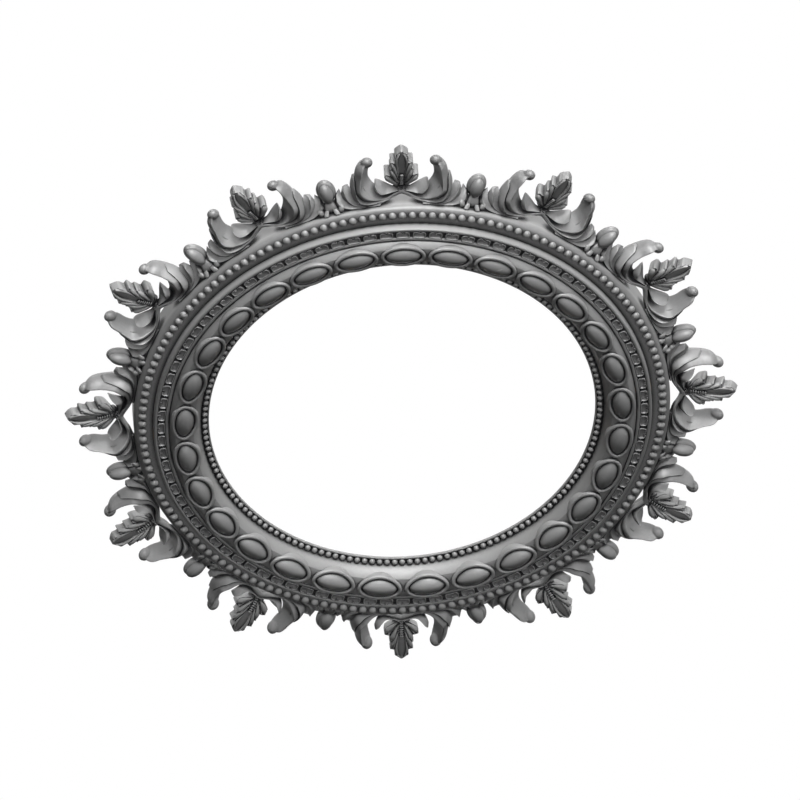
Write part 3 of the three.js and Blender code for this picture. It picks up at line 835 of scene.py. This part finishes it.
lobe_ridges = [
    [(2.2, 21, 0.5, 0.4), (5, 22.4, 1.6, 1.6), (8.5, 25, 2.6, 2.6), (11.6, 28.2, 3.1, 3.2),
     (13.2, 30.6, 2.7, 2.8), (13.9, 32, 1.2, 1.6)],
    [(2.4, 23, 0.5, 0.6), (4.2, 26.5, 1.4, 1.8), (6.2, 31, 2.1, 2.6), (7.8, 35.6, 2.5, 3.0),
     (8.7, 39, 2.2, 2.6), (9.2, 40.8, 1.0, 1.4)],
    [(2.8, 29, 0.5, 0.6), (4.2, 34, 1.4, 1.7), (5.9, 39.5, 2.0, 2.4), (7.4, 44.2, 2.3, 2.7),
     (8.4, 47.2, 2.0, 2.3), (8.9, 48.8, 0.9, 1.2)],
    [(3.1, 38, 0.5, 0.6), (4.2, 43, 1.2, 1.6), (4.9, 48.5, 1.5, 2.1), (4.8, 53, 1.5, 2.2),
     (3.6, 57, 1.3, 1.8), (1.9, 60, 0.8, 1.0)],
]
ridges = [tongue(places, side) for places in lobe_ridges for side in (-1, 1)]
rungs = [oval(1.9, 1.2, 0.95, out - 2.2, -1.4 + 0.29 * (out - 20.5), 10, 8)
         for out in (21.4, 23.6, 25.8, 28, 30.1, 32.2, 34.2)]
leaf_root = oval(8.4, 3.6, 4.8, 18.2, -5.4)
leaf_mesh = make_mesh("standing_leaf", *joined(leaf(), *ridges, *rungs, leaf_root), crisp_angle=50)
for i in range(crest_count):
    place_piece(f"standing_leaf_{i + 1:02d}", leaf_mesh, paint, "frame",
                [f"crest_leaf_{i + 1:02d}"], turn=crest_pitch * i)
print("faces of one leaf:", len(leaf_mesh.polygons))

# %% [markdown]
# Between two crests sits an oval boss, a smooth stone shape in a setting: the front is a high
# oval dome, and the setting is a wider, flatter oval behind it. A short tie holds it to the
# ring, with two small scrolled straps beside it.

# %% Oval boss
def round_bar(rows, around=16, square=0.6):
    """A bar through rows of (middle, half width, front, back, millimetres out from the ring)."""
    sections = []
    for middle, half, front, back, out in rows:
        section = []
        for i in range(around):
            angle = 2 * math.pi * i / around
            wide = math.copysign(abs(math.sin(angle)) ** square, math.sin(angle))
            deep = math.copysign(abs(math.cos(angle)) ** square, math.cos(angle))
            ahead = (front + back) / 2 + deep * (front - back) / 2
            section.append(((middle + half * wide) * MM, -(knot_height + ahead) * MM,
                            (outer_radius + out) * MM))
        sections.append(section)
    return lofted(sections)


def both_sides(rows):
    return [round_bar([(side * middle, *rest) for middle, *rest in rows]) for side in (-1, 1)]


tie = round_bar([(0, 7.2, 4.8, -4, 0.3), (0, 7.0, 5.4, -4.4, 3), (0, 6.2, 5.2, -4.6, 6), (0, 5.0, 4, -4.8, 9),
                 (0, 3.6, 2, -5, 12)], around=24)
straps = both_sides([(8.5, 1.6, 5.2, 2.6, -0.6), (8.6, 2.6, 6.8, 0.4, 0.4), (9.2, 2.8, 7.4, -1, 3),
                     (9.8, 2.6, 6.6, -2, 5.6), (9.6, 1.6, 4.4, -1.6, 7.2), (9.2, 0.6, 2.2, 0, 7.8)])
tongues = both_sides([(5.6, 0.7, 7.6, 6.6, -1.2), (5.4, 2.0, 9, 5.8, -0.2), (5.0, 2.5, 9.2, 4.4, 1.4),
                      (4.4, 2.4, 8, 2, 3.2), (3.6, 1.8, 6, 0, 5)])
stone_out = 20.3
setting = [oval(8.8, 4.2, 13, stone_out, -4.2), oval(8.0, 4.0, 12.2, stone_out, -2.6)]
stone = oval(5.9, 7.2, 10.8, stone_out, 0)
boss_mesh = make_mesh("oval_stone", *joined(*setting, stone, tie, *straps, *tongues))
for i in range(crest_count):
    place_piece(f"oval_stone_{i + 1:02d}", boss_mesh, paint, "frame",
                [f"oval_boss_{i + 1:02d}"], turn=crest_pitch * (i + 0.5))
print("faces of one boss:", len(boss_mesh.polygons))

# %% [markdown]
# Four turn buttons behind hold the picture in: each is a little steel bar with round ends that
# turns about a screw, so it swings over the picture's back or aside. The bar is stamped, so its
# edges are slightly rolled. The code stacks the bar's outline in rows, the outer ones drawn in.

# %% Turn buttons
def stadium(start, end, half, around=12):
    """The outline of a bar with round ends, along x."""
    outline = []
    for centre, first in ((end, 90), (start, -90)):
        for i in range(around + 1):
            angle = math.radians(first - 180 * i / around)
            outline.append((centre + half * math.cos(angle), half * math.sin(angle)))
    return outline


def stamped(outline, low, high, roll=0.25):
    """A plate between two distances behind the wall plane, with rolled edges."""
    middle_x = sum(x for x, z in outline) / len(outline)
    reach = max(abs(x - middle_x) for x, z in outline)
    width = max(abs(z) for x, z in outline)
    rows = []
    for inset, level in ((roll, low), (0, low + roll), (0, high - roll), (roll, high)):
        rows.append([((middle_x + (x - middle_x) * (1 - inset / reach)) * MM, level * MM,
                      z * (1 - inset / width) * MM) for x, z in outline])
    return lofted(rows)


def put_at(mesh, spot, degrees):
    """Moves a mesh made at the origin to its place on the back, turned with the ring."""
    mesh.transform(Matrix.Translation(spot) @ Matrix.Rotation(math.radians(degrees), 4, "Y"))
    return mesh


bar_low, bar_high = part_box("turn_button_top")
bar_half = in_mm(-bar_low.x)
bar_reach = in_mm(bar_high.x) - bar_half
bar_back, bar_front = in_mm(bar_low.y), in_mm(bar_high.y)
button_radius = in_mm(bar_low.z) + bar_half
button_names = ("top", "right", "bottom", "left")
for i, name in enumerate(button_names):
    bar = stamped(stadium(0, bar_reach, bar_half), bar_back, bar_front)
    bar_mesh = make_mesh(f"turn_button_{name}_bar", *bar, crisp_angle=30)
    put_at(bar_mesh, ring_point(90 * i, button_radius, 0), 90 * i)
    place_piece(f"turn_button_{name}_bar", bar_mesh, plate, f"turn_button_{name}",
                [f"turn_button_{name}"])
print("turn buttons:", len(button_names))

# %% [markdown]
# The screws are plain slotted pan heads. The slot is sawn right across, so the head is built as
# slices from one side to the other: each slice follows the crown, and the slices in the middle
# drop to the bottom of the slot. The shank behind the head is turned, and runs into the wood.

# %% Slotted screws
head_edge = 0.62
slot_half, slot_slope, slot_depth = 0.45, 0.06, 0.75
slice_shares = [-1, -0.97, -0.9, -0.78, -0.6, -0.4, -0.25]
slice_steps = 14
screw_depth = 12


def slotted_head(radius, seat, rise):
    """A pan head whose edge is head_edge of its rise, sawn across by the slot."""
    xs = [radius * share for share in slice_shares]
    xs += [-slot_half - slot_slope, -slot_half, slot_half, slot_half + slot_slope]
    xs += [-radius * share for share in reversed(slice_shares)]
    slices = []
    for x in xs:
        half = max(math.sqrt(max(radius ** 2 - x ** 2, 0)), 0.05)
        row = []
        for i in range(slice_steps + 1):
            z = -half + 2 * half * i / slice_steps
            share = min(1, math.hypot(x, z) / radius)
            top = seat + rise * (head_edge + (1 - head_edge) * (1 - share ** 2)) * (1 - share ** 10)
            if abs(x) <= slot_half:
                top = min(top, seat + rise - slot_depth)
            row.append((x * MM, top * MM, z * MM))
        row += [(x * MM, seat * MM, half * MM), (x * MM, seat * MM, -half * MM)]
        slices.append(row)
    return lofted(slices)


def shank(radius, seat, around=20):
    rows = []
    turned_rows = ((0.1, -screw_depth), (0.6, 1 - screw_depth), (1, 2.4 - screw_depth), (1, seat + 0.2))
    for share, level in turned_rows:
        rows.append([(radius * share * math.sin(2 * math.pi * i / around) * MM, level * MM,
                      radius * share * math.cos(2 * math.pi * i / around) * MM) for i in range(around)])
    return lofted(rows)


def place_screw(node, spot, turn, shank_radius, head_radius, seat, rise):
    screw = joined(slotted_head(head_radius, seat, rise), shank(shank_radius, seat))
    mesh = make_mesh(f"{node}_slotted", *screw, crisp_angle=35)
    put_at(mesh, spot, turn)
    place_piece(f"{node}_slotted", mesh, plate, "frame", [node])


for i, name in enumerate(button_names):
    place_screw(f"button_screw_{name}", ring_point(90 * i, button_radius, 0), turn=115 * i + 12,
                shank_radius=1.75, head_radius=3.6, seat=2.2, rise=2.23)
print("button screws:", len(button_names))

# %% [markdown]
# Two D ring hangers carry the frame. A strap is a steel strip with a round lower end, and at its
# upper end the strip is rolled into an open knuckle. The code stamps the flat part like the turn
# buttons, and draws the knuckle as the strip's own thickness carried round a circle.

# %% Hanger straps
strap_low, strap_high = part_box("hanger_strap_right")
wire_low, wire_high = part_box("hanger_ring_right")
strap_length, strap_thickness = 34.0, 1.2
strap_half = in_mm(strap_high.x - strap_low.x) / 2
strap_back = in_mm(strap_low.y)
strap_front = strap_back + strap_thickness
hinge_x = in_mm((strap_low.x + strap_high.x) / 2, 3)
hinge_z = in_mm(strap_low.z, 3) + strap_length
hinge_back = in_mm((wire_low.y + wire_high.y) / 2, 2)
roll_edge = 0.2
knuckle_from = -0.6
screw_drops = (20.74, 28.9)


def strap():
    foot = strap_half - strap_length
    flat = [(-strap_half, 0), (strap_half, 0)]
    flat += [(strap_half * math.cos(math.pi * i / 14), foot - strap_half * math.sin(math.pi * i / 14))
             for i in range(15)]
    rows = []
    for inset, level in ((roll_edge, strap_back), (0, strap_back + roll_edge), (0, strap_front - roll_edge),
                         (roll_edge, strap_front)):
        share = 1 - inset / strap_half
        rows.append([(x * share * MM, level * MM, z * MM if z == 0 else (foot + (z - foot) * share) * MM)
                     for x, z in flat])
    outside, inside = hinge_back - strap_back, hinge_back - strap_front
    turns = [math.radians(180 - 12 * i) for i in range(25)]
    curled = [(strap_back, knuckle_from)]
    curled += [(hinge_back + outside * math.cos(a), outside * math.sin(a)) for a in turns]
    curled += [(hinge_back + inside * math.cos(a), inside * math.sin(a)) for a in reversed(turns)]
    curled += [(strap_front, knuckle_from)]
    sides = [[(x * MM, y * MM, z * MM) for y, z in curled] for x in (-strap_half, strap_half)]
    return joined(lofted(rows), lofted(sides))


for side, name in ((-1, "left"), (1, "right")):
    strap_mesh = put_at(make_mesh(f"hanger_strap_{name}_rolled", *strap(), crisp_angle=30),
                        (side * hinge_x * MM, 0, hinge_z * MM), 0)
    place_piece(f"hanger_strap_{name}_rolled", strap_mesh, plate, "frame", [f"hanger_strap_{name}"])
    for number, drop in enumerate(screw_drops, 1):
        place_screw(f"strap_screw_{name}_{number}", (side * hinge_x * MM, 0, (hinge_z - drop) * MM),
                    turn=side * (35 + 70 * number), shank_radius=1.5, head_radius=3.2, seat=1.8, rise=1.98)
print("hanger straps: 2, screws:", 2 * len(screw_drops))

# %% [markdown]
# The D ring is bent from round wire: a straight side that lies in the knuckle, two tight corners
# and a round bow that hangs down. The code follows that path and sweeps the wire's circle along.

# %% D rings
def d_ring(wire=1.25, half=8, corner=2.2, drop=14, around=14):
    bends = [math.radians(v) for v in (22, 45, 67)]
    path = [(corner - half, 0), (half - corner, 0)]
    path += [(half - corner + corner * math.sin(a), corner * math.cos(a) - corner) for a in bends]
    path += [(half * math.cos(math.pi * i / 24), -corner - (drop - corner) * math.sin(math.pi * i / 24))
             for i in range(25)]
    path += [(corner - half - corner * math.sin(a), corner * math.cos(a) - corner) for a in reversed(bends)]
    count = len(path)
    points, faces = [], []
    for i, (x, z) in enumerate(path):
        before, after = path[i - 1], path[(i + 1) % count]
        along = Vector((after[0] - before[0], 0, after[1] - before[1])).normalized()
        for k in range(around):
            angle = 2 * math.pi * k / around
            aside = wire * math.cos(angle)
            points.append(((x - along.z * aside) * MM, wire * math.sin(angle) * MM,
                           (z + along.x * aside) * MM))
            here, beyond, beside = i * around, (i + 1) % count * around, (k + 1) % around
            faces.append((here + k, here + beside, beyond + beside, beyond + k))
    return points, faces


for side, name in ((-1, "left"), (1, "right")):
    ring_mesh = put_at(make_mesh(f"hanger_ring_{name}_wire", *d_ring()),
                       (side * hinge_x * MM, hinge_back * MM, hinge_z * MM), 0)
    place_piece(f"hanger_ring_{name}_wire", ring_mesh, plate, f"hanger_ring_{name}",
                [f"hanger_ring_{name}"])
print("D rings: 2")

# %% [markdown]
# The camera looks from the front and well above, with no perspective, as a catalogue view does.
# One picture element is 0.9 mm of the frame, so the view is 0.72 m wide. It aims at the middle
# of the knots' plane, moved by the few elements that the frame stands off the picture's middle.

# %% Camera
view_width, picture_width, camera_distance = 0.72, 800, 2
pixel = view_width / picture_width
turned_left, raised = math.radians(-3.655), math.radians(40.814)
aside_pixels, up_pixels = -1.41, 3.81
towards = Vector((math.sin(turned_left) * math.cos(raised), -math.cos(turned_left) * math.cos(raised),
                  math.sin(raised)))
across = Vector((math.cos(turned_left), math.sin(turned_left), 0))
upwards = towards.cross(across)
aim = Vector((0, -knot_height * MM, 0)) + across * aside_pixels * pixel + upwards * up_pixels * pixel
lens = bpy.data.cameras.new("camera")
lens.type = "ORTHO"
lens.ortho_scale = view_width
camera = bpy.data.objects.new("camera", lens)
facing = Matrix((across, upwards, towards)).transposed().to_4x4()
camera.matrix_world = Matrix.Translation(aim + towards * camera_distance) @ facing
bpy.context.scene.collection.objects.link(camera)
bpy.context.scene.camera = camera
print("camera at", [round(v, 3) for v in camera.matrix_world.translation])

# %% [markdown]
# The light is a soft skylight almost overhead, a little to the front and the right. It catches
# the top of every bead and leaves the undersides dark, which is what makes carving read. Most of
# it comes from all over the ceiling and casts no shadow, and a small share does, so that the
# frame still shades the floor. A third lamp only adds sheen to what is satin or metal. A
# window behind the wall plane lights the back, but no gloss mirrors it, since the steel would
# show as plain white.

# %% Lamps
def sun(name, direction, energy, spread, shadow, on_matt=True, on_gloss=True):
    lamp = bpy.data.lights.new(name, "SUN")
    lamp.energy = energy
    lamp.angle = math.radians(spread)
    lamp.use_shadow = shadow
    carrier = bpy.data.objects.new(name, lamp)
    carrier.rotation_euler = Vector(direction).to_track_quat("Z", "Y").to_euler()
    carrier.visible_diffuse = on_matt
    carrier.visible_glossy = on_gloss
    bpy.context.scene.collection.objects.link(carrier)
    return lamp


skylight_direction = (0.18, -0.18, 0.97)
lamps = [
    sun("skylight", skylight_direction, 3.1, 24, shadow=False),
    sun("skylight_shade", skylight_direction, 0.4, 24, shadow=True),
    sun("skylight_sheen", (0.1, -0.12, 1.0), 44, 24, shadow=True, on_matt=False),
    sun("back_window", (0.05, 0.99, 0.05), 2.2, 40, shadow=True, on_gloss=False),
]
print("lamps:", {lamp.name: round(lamp.energy, 2) for lamp in lamps})

# %% [markdown]
# The world is white where the camera or a reflection sees it, and nearly dark where it lights
# the wood. The floor is a plain pale sheet 1.3 m under the middle of the frame. It takes the
# frame's shadow, and throws no light back up at the frame's undersides.

# %% World and floor
world_light, world_seen = 0.01, 1.0

world = bpy.data.worlds.new("white_room")
bpy.context.scene.world = world
world.use_nodes = True
room = world.node_tree
room.nodes.clear()
ray = room.nodes.new("ShaderNodeLightPath")
seen = room.nodes.new("ShaderNodeMath")
seen.operation = "MAXIMUM"
room.links.new(ray.outputs["Is Camera Ray"], seen.inputs[0])
room.links.new(ray.outputs["Is Glossy Ray"], seen.inputs[1])
through = room.nodes.new("ShaderNodeMath")
through.operation = "MAXIMUM"
room.links.new(seen.outputs[0], through.inputs[0])
room.links.new(ray.outputs["Is Transmission Ray"], through.inputs[1])
brightness = remap(room.nodes, room.links, through.outputs[0], 0, 1, world_light, world_seen)
glow = room.nodes.new("ShaderNodeBackground")
room.links.new(brightness, glow.inputs["Strength"])
glow.inputs["Color"].default_value = (1, 1, 1, 1)
sky = room.nodes.new("ShaderNodeOutputWorld")
room.links.new(glow.outputs["Background"], sky.inputs["Surface"])

floor_half, floor_height = 0.6, -1.3
floor_corners = [(x * floor_half, y * floor_half, floor_height)
                 for x, y in ((-1, -1), (1, -1), (1, 1), (-1, 1))]
floor_mesh = bpy.data.meshes.new("floor")
floor_mesh.from_pydata(floor_corners, [], [(0, 1, 2, 3)])
floor = bpy.data.objects.new("floor", floor_mesh)
bpy.context.scene.collection.objects.link(floor)
floor_finish, floor_nodes, floor_links, floor_shader = new_finish("pale_floor")
floor_place = floor_nodes.new("ShaderNodeTexCoord").outputs["Object"]
floor_cloud = noise(floor_nodes, floor_links, floor_place, scale=6, detail=3)
floor_colour = mix_colour(floor_nodes, floor_links, floor_cloud, (0.78, 0.78, 0.78), (0.84, 0.84, 0.84))
floor_links.new(floor_colour, floor_shader.inputs["Base Color"])
floor_shader.inputs["Roughness"].default_value = 0.8
floor_mesh.materials.append(floor_finish)
floor.visible_diffuse = False
bpy.context.scene.view_settings.view_transform = "Standard"
print("floor at", floor_height, "m")
